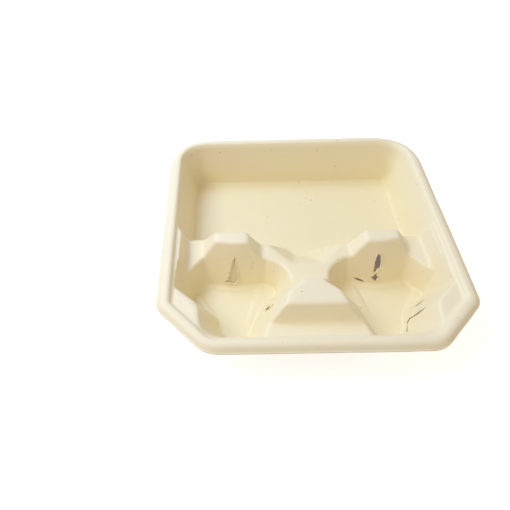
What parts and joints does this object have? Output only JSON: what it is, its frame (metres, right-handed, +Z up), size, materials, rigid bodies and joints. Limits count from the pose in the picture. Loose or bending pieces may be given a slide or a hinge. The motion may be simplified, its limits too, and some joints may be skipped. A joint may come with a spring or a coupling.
{
  "type": "cup carrier",
  "caption": "Moulded fibre carry tray with tapered cup wells at the front and a deep food basin behind, pressed as one thin sheet with a rolled rim.",
  "frame": {"origin": "centre of the tray's plan at the height of the surface it stands on", "axes": "+Z up, +Y towards the food basin's back wall, +X to the right as seen from the cup wells' side"},
  "size_m": [0.24, 0.24, 0.045],
  "materials": {
    "fibre": "matte moulded fibre, fine speckle"
  },
  "bodies": {
    "root": {"cup_carrier": "fibre"}
  },
  "joints": []
}
